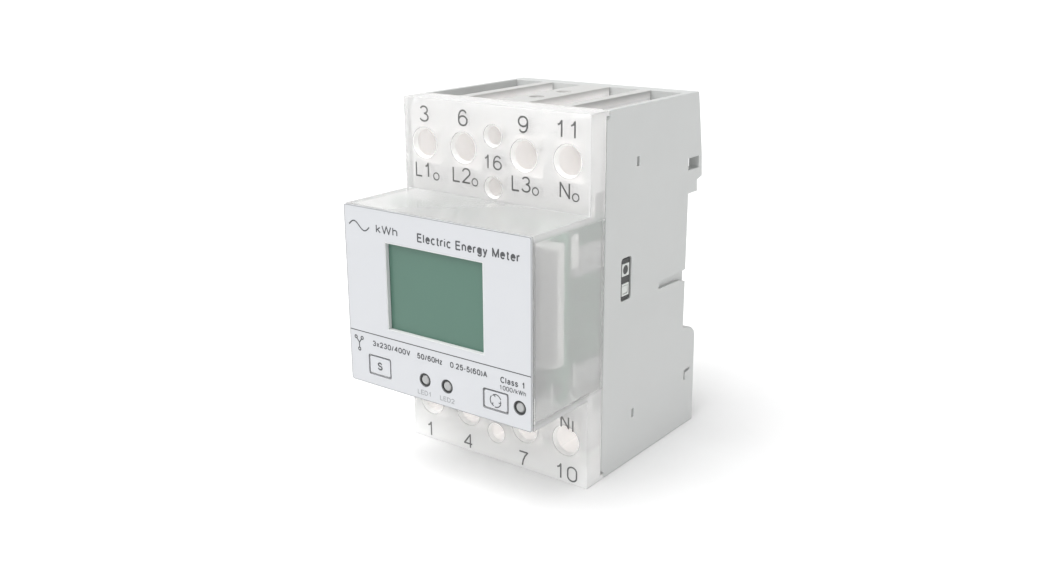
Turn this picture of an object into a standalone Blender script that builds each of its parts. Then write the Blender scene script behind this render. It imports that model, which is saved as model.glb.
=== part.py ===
"""Three-module smart electric meter that clips on a 35 mm mounting rail.

Frame: the origin is on the rail seat face at the middle of the housing's width and height.
+X is to the right seen from the front, -Y is the front, +Z is up.
Lengths are in millimetres and MM turns them into metres when a mesh is made.
"""
import math

import bmesh
import bpy
from mathutils import Matrix, Vector

MM = 0.001
GAP = 0.3  # clearance between pieces that rest on each other

# Housing
HALF_WIDTH = 27.0
HALF_HEIGHT = 44.0
FRONT_Y = -65.8
SHOULDER_Y = -44.3
FRONT_BODY_HALF_HEIGHT = 21.7
SIDE_WALL = 1.7
REAR_WALL = 1.5
SHELL_EDGE_Y = -38.0
SHELL_CORNER_EDGE_Y = -36.9
CORNER_STEP_Z = 41.8
CORNER_CHAMFER = 0.7
COVER_WALL = 1.5
COVER_FRONT_Y = -65.1
EDGE_ROUND = 0.4

# Rail side
RECESS_TOP_Z = 19.0
RECESS_BOTTOM_Z = -16.1
RAIL_GRIP_Y = 1.4  # front face of the hooks and of the clip's nose, behind a 1 mm rail flange
CHEEK_INNER_X = 24.2
POCKET_FLOOR_Y = 1.2
CHANNEL_HALF_WIDTH = 10.3
CHANNEL_MOUTH_HALF_WIDTH = 8.3
CHANNEL_FLOOR_Y = 0.4
CHANNEL_LIP_Y = 5.2
CLIP_NOSE_Z = -13.4
CLIP_FOOT_Z = -43.4
SPRING_RADIUS = 1.7
SPRING_WIRE_RADIUS = 0.3
SPRING_TURNS = 6
SPRING_TOP_Z = -22.6
SPRING_BOTTOM_Z = -31.4
SPRING_STOP_Z = -32.0
SPRING_CENTRE_Y = 2.7

# Main terminals
TERMINAL_X = (-20.8, -8.8, 8.8, 20.8)
TERMINAL_Z = 33.2
TERMINAL_NUMBERS = {1: ("3", "6", "9", "11"), -1: ("1", "4", "7", "10")}
SCREW_HOLE_RADIUS = 3.75
CHAMBER_HALF_WIDTH = 4.5
CHAMBER_FLOOR_Z = 28.2
WELL_TOP_Z = 37.6
SLOT_FRONT_Y = -36.3
SLOT_SHELF_Z = 38.6
BLOCK_FRONT_Y = -42.5
BLOCK_FOOT_Z = 26.0
BLOCK_REAR_Y = -1.8
APRON_REAR_Y = -40.5
WELL_OUTER_X = 24.2  # the outer wells stop here, which leaves them a side wall
SCREW_FACE_Y = -34.8  # front of the screw heads
WELL_FLOOR_Y = SCREW_FACE_Y + 2.5
CHAMBER_FRONT_Y = SCREW_FACE_Y + 3.5
SCREW_TIP_Y = SCREW_FACE_Y + 11.3
CAGE_FRONT_PLATE = (SCREW_FACE_Y + 9.1, SCREW_FACE_Y + 10.9)
CAGE_REAR_PLATE = (SCREW_FACE_Y + 20.4, SCREW_FACE_Y + 22.0)
BAR_FRONT_Y = SCREW_FACE_Y + 11.7
BAR_THICKNESS = 1.5
BAR_HALF_WIDTH = 2.9
BAR_END_Z = 36.9
BAR_JOG_Z = 18.0
BAR_NAMES = ("phase_bar_1", "phase_bar_2", "phase_bar_3", "neutral_bar")
BAR_MIDDLE_X = (-19.2, -8.0, 8.8, 20.8)  # the outer phases step inwards to make room for their rings

# Auxiliary terminals: height, and how far back the clamp sits from the outer one's clamp
AUX_TERMINALS = {
    "outer_top": (36.8, 0.0),
    "inner_top": (24.8, 11.3),
    "outer_bottom": (-36.8, 0.0),
}
AUX_HOLE_RADIUS = 2.6
AUX_CHAMBER_HALF_WIDTH = 3.1
AUX_CHAMBER_HALF_HEIGHT = 2.9
AUX_SCREW_FACE_Y = -38.3
AUX_WIRE_Y = AUX_SCREW_FACE_Y + 11.3
AUX_STRIP_Y = AUX_SCREW_FACE_Y + 9.2
AUX_WIRE_RADIUS = 1.9
AUX_JOG_Z = 33.0
AUX_CONTACT_FOOT_Z = 17.5
BOSS_HALF_WIDTH = 4.4
BOSS_FOOT_Z = 21.0
BOSS_REAR_Y = -10.0

# Front plate: each opening as left, right, low and high edges
LCD_OPENING = (-14.4, 14.2, -6.8, 14.3)
KEY_OPENINGS = {"select": (-21.0, -14.0, -18.9, -14.1), "scroll": (13.7, 20.6, -18.9, -14.3)}
LED_PLACES = {"1": (-3.35, -16.6), "2": (3.25, -16.6), "pulse": (23.75, -16.6)}
LED_HOLE_RADIUS = 1.55
LED_RADIUS = 1.2
LABEL_THICKNESS = 0.4
LCD_SUNK = 1.1
KEY_TRAVEL = 0.5

# Infrared port in the right side wall
IR_OPENING = (-31.0, -26.5, -1.3, 9.1)
IR_EYES = {"receiver": 1.3, "emitter": 6.1}
IR_EYE_HALF = 1.5
IR_EYE_FRONT_X = 26.8

# Boards
MAIN_PCB_Y = (-52.1, -50.5)
POWER_PCB_Y = (-36.3, -34.7)

# Finish of each kind of piece: colour, roughness and metallic value
FINISHES = {
    "shell_grey": ((0.57, 0.58, 0.575), 0.55, 0.0),
    "cover_frosted": ((0.80, 0.81, 0.80), 0.35, 0.0),
    "label_white": ((0.77, 0.80, 0.83), 0.4, 0.0),
    "lcd_green": ((0.15, 0.28, 0.22), 0.25, 0.0),
    "clear_plastic": ((0.55, 0.60, 0.58), 0.1, 0.0),
    "white_plastic": ((0.78, 0.78, 0.76), 0.5, 0.0),
    "dark_plastic": ((0.07, 0.08, 0.08), 0.4, 0.0),
    "board_green": ((0.04, 0.20, 0.09), 0.5, 0.0),
    "bright_steel": ((0.70, 0.70, 0.68), 0.3, 1.0),
    "brass": ((0.72, 0.55, 0.25), 0.3, 1.0),
    "copper": ((0.80, 0.42, 0.28), 0.3, 1.0),
    "core_blue": ((0.05, 0.09, 0.28), 0.5, 0.0),
    "led_lens": ((0.42, 0.43, 0.43), 0.2, 0.0),
}


def clear_scene():
    for obj in list(bpy.data.objects):
        bpy.data.objects.remove(obj, do_unlink=True)


def finish(name):
    """The material of this name, made when it is first asked for."""
    found = bpy.data.materials.get(name)
    if found:
        return found
    colour, roughness, metallic = FINISHES[name]
    made = bpy.data.materials.new(name)
    made.use_nodes = True
    shader = made.node_tree.nodes["Principled BSDF"]
    shader.inputs["Base Color"].default_value = (*colour, 1.0)
    shader.inputs["Roughness"].default_value = roughness
    shader.inputs["Metallic"].default_value = metallic
    return made


def object_from(shape, name, material=None):
    """A linked object from a bmesh in millimetres, with no material if it is a tool shape."""
    bmesh.ops.scale(shape, vec=(MM, MM, MM), verts=shape.verts)
    bmesh.ops.recalc_face_normals(shape, faces=shape.faces)
    mesh = bpy.data.meshes.new(name)
    shape.to_mesh(mesh)
    shape.free()
    mesh.shade_smooth()
    mesh.set_sharp_from_angle(angle=math.radians(35))
    made = bpy.data.objects.new(name, mesh)
    bpy.context.scene.collection.objects.link(made)
    if material:
        mesh.materials.append(finish(material))
    else:
        made.hide_render = True
        made.display_type = "WIRE"
    return made


def box_mesh(x, y, z):
    """A bmesh box between two limits on each axis."""
    shape = bmesh.new()
    bmesh.ops.create_cube(shape, size=1.0)
    size = Vector((abs(x[1] - x[0]), abs(y[1] - y[0]), abs(z[1] - z[0])))
    middle = Vector((sum(x), sum(y), sum(z))) / 2
    bmesh.ops.scale(shape, vec=size, verts=shape.verts)
    bmesh.ops.translate(shape, vec=middle, verts=shape.verts)
    return shape


def round_edges(shape, radius, axis=None, segments=2):
    """Bevels every edge, or only those that run along one axis (0, 1 or 2)."""
    def runs_along(edge):
        run = (edge.verts[1].co - edge.verts[0].co).normalized()
        return abs(run[axis]) > 0.99

    edges = [edge for edge in shape.edges if axis is None or runs_along(edge)]
    bmesh.ops.bevel(
        shape, geom=edges, offset=radius, offset_type="OFFSET", segments=segments,
        profile=0.5, affect="EDGES", clamp_overlap=True,
    )


def box(name, x, y, z, material=None, radius=0.0, axis=None, segments=2):
    shape = box_mesh(x, y, z)
    if radius:
        round_edges(shape, radius, axis, segments)
    return object_from(shape, name, material)


def boxes(name, *limits):
    """One tool made of boxes that don't meet."""
    shape = bmesh.new()
    for x, y, z in limits:
        part = box_mesh(x, y, z)
        mesh = bpy.data.meshes.new("part")
        part.to_mesh(mesh)
        part.free()
        shape.from_mesh(mesh)
        bpy.data.meshes.remove(mesh)
    return object_from(shape, name)


def side_prism(name, outline, x, material=None, radius=0.0):
    """An outline of (y, z) points pushed along X."""
    shape = bmesh.new()
    corners = [shape.verts.new((x[0], y, z)) for y, z in outline]
    face = shape.faces.new(corners)
    pushed = bmesh.ops.extrude_face_region(shape, geom=[face])["geom"]
    moved = [item for item in pushed if isinstance(item, bmesh.types.BMVert)]
    bmesh.ops.translate(shape, vec=(x[1] - x[0], 0, 0), verts=moved)
    if radius:
        round_edges(shape, radius)
    return object_from(shape, name, material)


TURNS = {
    "x": Matrix.Rotation(math.radians(90), 4, "Y"),
    "y": Matrix.Rotation(math.radians(-90), 4, "X"),
    "z": Matrix.Identity(4),
}


def turned(name, profile, place, axis="y", material=None, segments=24):
    """A solid of revolution: the profile's (radius, distance along the axis) pairs start and end at radius 0."""
    shape = bmesh.new()
    rings = []
    for radius, along in profile:
        if radius == 0:
            rings.append([shape.verts.new((0, 0, along))])
            continue
        angles = [2 * math.pi * step / segments for step in range(segments)]
        rings.append([
            shape.verts.new((radius * math.cos(a), radius * math.sin(a), along)) for a in angles
        ])
    for low, high in zip(rings, rings[1:]):
        for step in range(segments):
            after = (step + 1) % segments
            ring = [low[step % len(low)], low[after % len(low)],
                    high[after % len(high)], high[step % len(high)]]
            shape.faces.new(list(dict.fromkeys(ring)))
    bmesh.ops.transform(shape, matrix=TURNS[axis], verts=shape.verts)
    bmesh.ops.translate(shape, vec=place, verts=shape.verts)
    return object_from(shape, name, material)


def rod(name, radius, span, place, axis="y", material=None, segments=24):
    """A cylinder whose span is measured along its axis from its place."""
    profile = [(0, span[0]), (radius, span[0]), (radius, span[1]), (0, span[1])]
    return turned(name, profile, place, axis, material, segments)


def combine(target, operation, tools):
    for tool in tools:
        modifier = target.modifiers.new(tool.name, "BOOLEAN")
        modifier.operation = operation
        modifier.solver = "EXACT"
        modifier.object = tool
    return target


def cut(target, *tools):
    return combine(target, "DIFFERENCE", tools)


def join(target, *tools):
    return combine(target, "UNION", tools)


def around(centre, half):
    return centre - half, centre + half


def signed(side, low, high):
    """A span of heights on the upper (1) or lower (-1) half."""
    return tuple(sorted((side * low, side * high)))


def side_walls(low, high):
    """The span of X on the left wall and on the right wall, between two distances from the middle."""
    return (-high, -low), (low, high)


# ---------------------------------------------------------------- housing

def housing_outline():
    """The rear shell's side view, clockwise from the lower front corner."""
    return [
        (SHELL_CORNER_EDGE_Y, -HALF_HEIGHT),
        (6.8, -HALF_HEIGHT),
        (6.4, -19.6),
        (5.9, -18.4),
        (4.4, -17.2),
        (0.0, RECESS_BOTTOM_Z),
        (0.0, RECESS_TOP_Z),
        (4.6, RECESS_TOP_Z),
        (4.3, 21.9),
        (6.8, 22.5),
        (6.3, 28.5),
        (3.6, HALF_HEIGHT),
        (SHELL_CORNER_EDGE_Y, HALF_HEIGHT),
        (SHELL_CORNER_EDGE_Y, CORNER_STEP_Z + CORNER_CHAMFER),
        (SHELL_EDGE_Y, CORNER_STEP_Z),
        (SHELL_EDGE_Y, -CORNER_STEP_Z),
        (SHELL_CORNER_EDGE_Y, -CORNER_STEP_Z - CORNER_CHAMFER),
    ]


def make_rear_shell():
    """Side walls, rear wall, rail hooks, clip channel and the snap arms that hold the cover."""
    shell = side_prism("rear_shell", housing_outline(), (-HALF_WIDTH, HALF_WIDTH), "shell_grey", 0.25)
    inner = HALF_WIDTH - SIDE_WALL
    cut(shell, box("shell_cavity", (-inner, inner), (SHELL_EDGE_Y - 5, -REAR_WALL), (-50, 50)))

    deep = (POCKET_FLOOR_Y, 10)
    upper = (23.0, 41.0)
    cut(shell, boxes(
        "upper_pockets",
        ((-CHEEK_INNER_X, -9), deep, upper), ((-7, 7), deep, upper), ((9, CHEEK_INNER_X), deep, upper),
    ))
    lower = (-41.0, -21.5)
    cut(shell, boxes(
        "lower_pockets", *[(wall, deep, lower) for wall in side_walls(12.5, CHEEK_INNER_X)],
    ))
    cut(shell, boxes(
        "cheek_windows", *[(wall, (-0.6, 4.7), (25, 28)) for wall in side_walls(CHEEK_INNER_X - 1, 30)],
    ))

    hook = [(RAIL_GRIP_Y, 19.6), (RAIL_GRIP_Y, 16.2), (2.2, 15.6), (3.4, 16.4), (4.3, 19.6)]
    for side, wall in zip(("left", "right"), side_walls(10.0, 17.0)):
        join(shell, side_prism(f"hook_{side}", hook, wall))

    channel = (-50, RECESS_BOTTOM_Z + 3)
    cut(shell, box("clip_channel", around(0, CHANNEL_HALF_WIDTH), (CHANNEL_FLOOR_Y, CHANNEL_LIP_Y), channel))
    cut(shell, box("clip_mouth", around(0, CHANNEL_MOUTH_HALF_WIDTH), (CHANNEL_LIP_Y - 1, 10), channel))
    stop = (SPRING_STOP_Z - 1.5, SPRING_STOP_Z)
    join(shell, box("spring_stop", (-1.6, 1.6), (CHANNEL_FLOOR_Y - 0.5, 4.0), stop))

    inner_arm = inner - 0.2
    for name, height in (("high", (8.6, 15.0)), ("low", (-18.0, -12.5))):
        for side, wall, foot in zip(
            ("left", "right"), side_walls(23.9, inner_arm), side_walls(23.9, inner + 0.5)
        ):
            join(
                shell,
                box(f"snap_foot_{name}_{side}", foot, (-37.4, -33.0), height),
                box(f"snap_arm_{name}_{side}", wall, (-48.4, -36.0), height),
            )

    cut_side_details(shell)
    return shell


def cut_side_details(shell):
    """Shallow marks in both side walls, and the infrared port through the right one."""
    groove = [(-13.4, -0.6), (-13.4, -2.4), (-3.0, -2.7), (1.0, -3.9), (1.0, -0.4), (-3.0, -0.5)]
    for side, wall in zip(("left", "right"), side_walls(HALF_WIDTH - 0.9, 30)):
        cut(shell, side_prism(f"side_groove_{side}", groove, wall))
        cut(shell, boxes(
            f"side_slots_{side}",
            (wall, (-25.1, -24.1), (29.9, 32.1)), (wall, (-24.8, -23.8), (-32.5, -30.3)),
        ))
    latch = [(1.2, -31.2), (1.9, -31.2), (1.9, -29.3), (4.2, -28.9), (4.2, -28.2), (1.2, -28.4)]
    for side, wall in zip(("left", "right"), side_walls(HALF_WIDTH - 0.7, 30)):
        cut(shell, side_prism(f"latch_mark_{side}", latch, wall))
    low_y, high_y, low_z, high_z = IR_OPENING
    cut(shell, box("ir_port", (24, 30), (low_y, high_y), (low_z, high_z), None, 0.8, 0, 3))


def make_front_cover():
    """Frosted cover: two shoulders with screwdriver holes and the raised box that carries the label."""
    rear_y = SHELL_CORNER_EDGE_Y - GAP
    high, step = HALF_HEIGHT, FRONT_BODY_HALF_HEIGHT
    outline = [
        (SHOULDER_Y, high), (SHOULDER_Y, step), (COVER_FRONT_Y, step), (COVER_FRONT_Y, -step),
        (SHOULDER_Y, -step), (SHOULDER_Y, -high), (rear_y, -high), (rear_y, high),
    ]
    cover = side_prism("front_cover", outline, (-HALF_WIDTH, HALF_WIDTH), "cover_frosted", EDGE_ROUND)
    inner = HALF_WIDTH - COVER_WALL
    cut(
        cover,
        box("shoulder_hollow", around(0, inner), (SHOULDER_Y + COVER_WALL, 0), around(0, high - COVER_WALL)),
        box("box_hollow", around(0, inner), (COVER_FRONT_Y + COVER_WALL, SHOULDER_Y + 3),
            around(0, step - COVER_WALL)),
        box("skirt_trim", (-30, 30), (SHELL_EDGE_Y - GAP, 0), around(0, CORNER_STEP_Z + CORNER_CHAMFER + GAP)),
    )
    for side in (1, -1):
        for number, x in zip(TERMINAL_NUMBERS[side], TERMINAL_X):
            place = (x, SHOULDER_Y, side * TERMINAL_Z)
            cut(cover, rod(f"screw_hole_{number}", SCREW_HOLE_RADIUS, (-2, 4), place, segments=32))
    for name, (z, _) in AUX_TERMINALS.items():
        cut(cover, rod(f"aux_hole_{name}", AUX_HOLE_RADIUS, (-2, 4), (0, SHOULDER_Y, z)))
    cut_front_openings(cover, "cover")
    return cover


def cut_front_openings(target, name):
    """The display, key and lamp openings, which the label and the cover share."""
    through = (FRONT_Y - 1, COVER_FRONT_Y + COVER_WALL + 1)
    margin = GAP if name == "cover" else 0.0
    left, right, low, high = LCD_OPENING
    lcd = ((left - margin, right + margin), through, (low - margin, high + margin))
    keys = [((x0, x1), through, (z0, z1)) for x0, x1, z0, z1 in KEY_OPENINGS.values()]
    cut(target, boxes(f"{name}_windows", lcd, *keys))
    for lamp, (x, z) in LED_PLACES.items():
        cut(target, rod(f"{name}_lamp_hole_{lamp}", LED_HOLE_RADIUS, through, (x, 0, z)))


def make_front_label():
    label = box(
        "front_label", around(0, HALF_WIDTH - 0.1), (FRONT_Y, FRONT_Y + LABEL_THICKNESS),
        around(0, FRONT_BODY_HALF_HEIGHT - 0.1), "label_white", 0.5, 1, 3,
    )
    cut_front_openings(label, "label")


# ---------------------------------------------------------------- terminals

def make_terminal_block(side, name):
    """Comb moulding with a well, a collar and a cable slot for each main terminal."""
    block = box(
        f"terminal_block_{name}", around(0, HALF_WIDTH - SIDE_WALL - GAP), (BLOCK_FRONT_Y, BLOCK_REAR_Y),
        signed(side, BLOCK_FOOT_Z, HALF_HEIGHT), "shell_grey",
    )
    join(
        block,
        box(f"aux_boss_{name}", around(0, BOSS_HALF_WIDTH), (BLOCK_FRONT_Y, BOSS_REAR_Y),
            signed(side, BOSS_FOOT_Z, BLOCK_FOOT_Z + 1)),
        box(f"apron_{name}", around(0, HALF_WIDTH - SIDE_WALL - GAP), (BLOCK_FRONT_Y, APRON_REAR_Y),
            signed(side, BOSS_FOOT_Z, BLOCK_FOOT_Z + 1)),
    )
    cover_rear_y = SHELL_CORNER_EDGE_Y - GAP
    cut(block, box(
        f"cover_seat_{name}", (-30, 30), (-50, cover_rear_y + GAP),
        signed(side, HALF_HEIGHT - COVER_WALL - GAP, 50),
    ))
    wells, chambers, shelves, bar_slots = [], [], [], []
    for x in TERMINAL_X:
        span = around(x, CHAMBER_HALF_WIDTH)
        if abs(x) + CHAMBER_HALF_WIDTH > HALF_WIDTH - SIDE_WALL - GAP:
            span = tuple(sorted((x - math.copysign(CHAMBER_HALF_WIDTH, x), math.copysign(30, x))))
        well_span = tuple(max(-WELL_OUTER_X, min(WELL_OUTER_X, edge)) for edge in span)
        wells.append((well_span, (-50, WELL_FLOOR_Y), signed(side, CHAMBER_FLOOR_Z, WELL_TOP_Z)))
        chambers.append((span, (CHAMBER_FRONT_Y, 0), signed(side, CHAMBER_FLOOR_Z, 50)))
        shelves.append((span, (SLOT_FRONT_Y, -30), signed(side, SLOT_SHELF_Z, 50)))
        bar_span = around(x, BAR_HALF_WIDTH + GAP)
        bar_depth = (BAR_FRONT_Y - 0.4, BAR_FRONT_Y + BAR_THICKNESS + 0.4)
        bar_slots.append((bar_span, bar_depth, signed(side, 20, 30)))
    for kind, limits in (("wells", wells), ("chambers", chambers), ("shelves", shelves),
                         ("bar_slots", bar_slots)):
        cut(block, boxes(f"{kind}_{name}", *limits))
    for x in TERMINAL_X:
        place = (x, 0, side * TERMINAL_Z)
        collar = (WELL_FLOOR_Y - 1, CHAMBER_FRONT_Y + 1)
        cut(block, rod(f"collar_hole_{name}_{x:.0f}", 2.6, collar, place))
    for aux, (z, back) in AUX_TERMINALS.items():
        if z * side > 0:
            cut_aux_chamber(block, aux, z, back, side)
    return block


def cut_aux_chamber(block, aux, z, back, side):
    """Well, collar, clamp chamber and wire hole of one auxiliary terminal."""
    width = around(0, AUX_CHAMBER_HALF_WIDTH)
    height = around(z, AUX_CHAMBER_HALF_HEIGHT)
    well = (-50, AUX_SCREW_FACE_Y + 2.1)
    chamber = (AUX_SCREW_FACE_Y + 2.9, AUX_SCREW_FACE_Y + 14.7 + back)
    collar = (well[1] - 1, chamber[0] + 1)
    cut(
        block,
        boxes(f"aux_chamber_{aux}", (width, well, height), (width, chamber, height)),
        rod(f"aux_collar_{aux}", 1.5, collar, (0, 0, z), segments=16),
        rod(f"aux_wire_hole_{aux}", AUX_WIRE_RADIUS, signed(side, abs(z), 50),
            (0, AUX_WIRE_Y + back, 0), "z", segments=16),
    )
    strip_y = around(AUX_STRIP_Y + back, 0.8)
    if back:
        cut(block, box(f"aux_strip_way_{aux}", (-1.9, 1.9), strip_y, signed(side, 18, abs(z))))
    else:
        cut(
            block,
            box(f"aux_strip_way_{aux}", (1.6, 3.1), strip_y, signed(side, 18, abs(z))),
            box(f"aux_jog_way_{aux}", (-1.9, 2.0), strip_y, signed(side, AUX_JOG_Z - GAP, abs(z))),
        )


def make_screw(name, place, head_radius, head_span, shank_radius, tip_y, slot):
    """Captive clamping screw with a cross recess, on a hinge along Y through its place."""
    front, rear = head_span
    profile = [
        (0, front), (head_radius - 0.4, front), (head_radius, front + 0.4), (head_radius, rear),
        (shank_radius, rear), (shank_radius, tip_y - 0.5), (shank_radius - 0.5, tip_y), (0, tip_y),
    ]
    screw = turned(name, profile, place, material="bright_steel", segments=20)
    long, thick, deep = slot
    x, _, z = place
    cut(
        screw,
        box(f"{name}_slot", around(x, long), (front - 1, front + deep), around(z, thick)),
        box(f"{name}_cross", around(x, thick), (front - 1, front + deep - 0.1), around(z, long * 0.75)),
    )


def make_cage(name, centre, outer, inner_half, front_plate, rear_plate, hole_radius, material):
    """Rising cage: a square loop round the strap, with the screw's hole in its front plate."""
    x, z = centre
    half_x, half_z = outer
    cage = box(
        name, around(x, half_x), (front_plate[0], rear_plate[1]), around(z, half_z), material, 0.3, 2, 1,
    )
    cut(
        cage,
        box(f"{name}_window", around(x, inner_half), (front_plate[1], rear_plate[0]),
            around(z, half_z + 1)),
        rod(f"{name}_hole", hole_radius, (front_plate[0] - 1, front_plate[1] + 1), (x, 0, z), segments=16),
    )


def make_main_terminals():
    for side in (1, -1):
        for number, x in zip(TERMINAL_NUMBERS[side], TERMINAL_X):
            z = side * TERMINAL_Z
            head = (SCREW_FACE_Y, SCREW_FACE_Y + 2.2)
            make_screw(f"screw_{number}", (x, 0, z), 2.9, head, 2.2, SCREW_TIP_Y, (2.3, 0.4, 1.3))
            make_cage(
                f"cage_{number}", (x, z), (4.1, 3.8), 3.3, CAGE_FRONT_PLATE, CAGE_REAR_PLATE, 2.5,
                "bright_steel",
            )
    depth = (BAR_FRONT_Y, BAR_FRONT_Y + BAR_THICKNESS)
    for name, x, middle_x in zip(BAR_NAMES, TERMINAL_X, BAR_MIDDLE_X):
        bar = box(name, around(middle_x, BAR_HALF_WIDTH), depth, around(0, BAR_JOG_Z), "copper")
        for side in (1, -1):
            tail = signed(side, BAR_JOG_Z - 3, BAR_END_Z)
            join(bar, box(f"{name}_tail_{side}", around(x, BAR_HALF_WIDTH), depth, tail))


def make_aux_terminals():
    for aux, (z, back) in AUX_TERMINALS.items():
        side = math.copysign(1, z)
        face = AUX_SCREW_FACE_Y
        make_screw(
            f"aux_screw_{aux}", (0, 0, z), 1.9, (face, face + 1.8), 1.2, face + 8.4 + back, (1.5, 0.3, 0.8),
        )
        make_cage(
            f"aux_cage_{aux}", (0, z), (2.6, 2.4), 2.0, (face + 6.8 + back, face + 8.0 + back),
            (face + 13.0 + back, face + 14.0 + back), 1.5, "bright_steel",
        )
        y = around(AUX_STRIP_Y + back, 0.4)
        foot = AUX_CONTACT_FOOT_Z if back else AUX_JOG_Z
        strip = box(f"aux_contact_{aux}", (-1.6, 1.6), y, signed(side, foot, abs(z) + 2.3), "brass")
        if not back:
            jog_top = AUX_JOG_Z + 1.1
            join(
                strip,
                box(f"aux_jog_{aux}", (0.5, 2.8), y, signed(side, AUX_JOG_Z, jog_top)),
                box(f"aux_leg_{aux}", (1.9, 2.8), y, signed(side, AUX_CONTACT_FOOT_Z, jog_top)),
            )


# ---------------------------------------------------------------- front

def make_display():
    left, right, low, high = LCD_OPENING
    pane_y = FRONT_Y + LCD_SUNK
    box("lcd_window", (left, right), (pane_y, pane_y + 0.9), (low, high), "clear_plastic")
    x = (left - 1.4, right + 1.4)
    z = (low - 1.4, high + 1.4)
    box("lcd_glass", x, (-63.3, -61.7), z, "lcd_green")
    box("lcd_backlight", x, (-61.4, -59.4), z, "white_plastic", 0.4, 1, 2)


def make_display_frame():
    """White carrier that holds the display and reaches both side walls of the front box."""
    wide = around(0, 25.2)
    frame = box("lcd_frame", wide, (-55.1, -52.5), (-10.3, 17.5), "white_plastic", 0.5, 0, 2)
    join(
        frame,
        box("frame_top_arm", wide, (-58.0, -54.0), (16.4, 17.5)),
        box("frame_bottom_arm", wide, (-57.0, -54.0), (-10.3, -9.2)),
        box("frame_ring", (-17.3, 17.1), (-63.2, -54.0), (-9.7, 17.1)),
    )
    cut(
        frame,
        box("frame_seat", (-16.1, 15.9), (-70, -59.1), (-8.5, 16.0)),
        box("frame_connector_way", (-9, 9), (-60, -50), (-5, 10)),
    )


def make_key(name, opening):
    """Key cap with a retaining flange behind the cover and a stem that reaches its switch."""
    x0, x1, z0, z1 = opening
    x, z = (x0 + x1) / 2, (z0 + z1) / 2
    key = box(
        f"key_{name}", (x0 + GAP, x1 - GAP), (FRONT_Y, -62.6), (z0 + GAP, z1 - GAP),
        "label_white", 0.4, 1, 2,
    )
    flange_y = COVER_FRONT_Y + COVER_WALL + GAP
    join(
        key,
        box(f"key_flange_{name}", (x0 - 0.7, x1 + 0.7), (flange_y, flange_y + 0.9), (z0 - 0.7, z1 + 0.7)),
        rod(f"key_stem_{name}", 1.5, (flange_y + 0.5, -56.9), (x, 0, z), segments=16),
    )
    switch = box(
        f"tact_switch_{name}", around(x, 3), (-55.6, MAIN_PCB_Y[0] - GAP), around(z, 3),
        "dark_plastic", 0.4, 1, 1,
    )
    join(switch, rod(f"switch_nub_{name}", 1.3, (-56.1, -55), (x, 0, z), segments=16))


def make_lamps():
    flange = COVER_FRONT_Y + COVER_WALL + GAP
    for name, (x, z) in LED_PLACES.items():
        profile = [
            (0, FRONT_Y), (LED_RADIUS - 0.3, FRONT_Y), (LED_RADIUS, FRONT_Y + 0.3), (LED_RADIUS, flange),
            (1.45, flange), (1.45, flange + 0.9), (1.0, flange + 0.9),
            (1.0, MAIN_PCB_Y[0] - GAP), (0, MAIN_PCB_Y[0] - GAP),
        ]
        turned(f"led_{name}", profile, (x, 0, z), material="led_lens", segments=20)


# ---------------------------------------------------------------- electronics

def make_boards():
    box("main_pcb", around(0, 24.8), MAIN_PCB_Y, around(0, 19.8), "board_green", 0.8, 1, 2)
    box("power_pcb", around(0, 23.4), POWER_PCB_Y, around(0, 20.5), "board_green", 0.8, 1, 2)
    behind_main = MAIN_PCB_Y[1] + GAP
    before_power = POWER_PCB_Y[0] - GAP
    box("board_connector", (-9, 9), (behind_main, before_power), (12.0, 14.5), "dark_plastic", 0.3, 1, 1)
    can = [(0, -47.5), (3.6, -47.5), (4.0, -47.1), (4.0, -38.6), (3.7, -38.2), (3.7, -37.8),
           (4.0, -37.4), (4.0, before_power), (0, before_power)]
    turned("capacitor", can, (-14, 0, 6), material="core_blue")
    disc = [(0, -1.6), (3.9, -1.6), (4.4, -1.1), (4.4, 1.1), (3.9, 1.6), (0, 1.6)]
    varistor = turned("varistor", disc, (-7, -42.2, -9), "x", "core_blue", 20)
    join(varistor, box("varistor_leads", (-7.4, -6.6), (-40, before_power), (-11.5, -6.5)))
    coil = box("supply_coil", (4, 15), (-46.0, before_power), (-13, -3), "dark_plastic", 0.8, 1, 2)
    join(coil, rod("coil_winding", 4.3, (3, 16), (0, -42.0, -8), "x", segments=20))


def make_current_transformers():
    y = BAR_FRONT_Y + BAR_THICKNESS / 2
    for number, x in enumerate(BAR_MIDDLE_X[:3], start=1):
        outline = [(0, -4.0), (4.7, -4.0), (5.4, -3.3), (5.4, 3.3), (4.7, 4.0), (0, 4.0)]
        core = turned(f"current_transformer_{number}", outline, (x, y, 0), "z", "core_blue")
        cut(core, rod(f"core_hole_{number}", 3.6, (-6, 6), (x, y, 0), "z"))


def make_infrared_port():
    low_y, high_y, low_z, high_z = IR_OPENING
    middle_y = (low_y + high_y) / 2
    bezel = box(
        "ir_bezel", (25.6, 26.7), (low_y + GAP, high_y - GAP), (low_z + GAP, high_z - GAP),
        "dark_plastic", 0.6, 0, 2,
    )
    holes = [((24, 28), around(middle_y, 1.6), around(z, 1.6)) for z in IR_EYES.values()]
    cut(bezel, boxes("ir_eye_holes", *holes))
    for name, z in IR_EYES.items():
        eye = box(
            f"ir_{name}", (23.8, IR_EYE_FRONT_X), around(middle_y, IR_EYE_HALF), around(z, IR_EYE_HALF),
            "white_plastic", 0.15, 0, 1,
        )
        if name == "emitter":
            bowl = (IR_EYE_FRONT_X - 0.5, IR_EYE_FRONT_X + 1)
            cut(eye, rod("ir_emitter_bowl", 1.1, bowl, (0, middle_y, z), "x", segments=24))
        else:
            recess = (IR_EYE_FRONT_X - 0.3, IR_EYE_FRONT_X + 1)
            cut(eye, box("ir_receiver_recess", recess, around(middle_y, 1.05), around(z, 1.05)))


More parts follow.
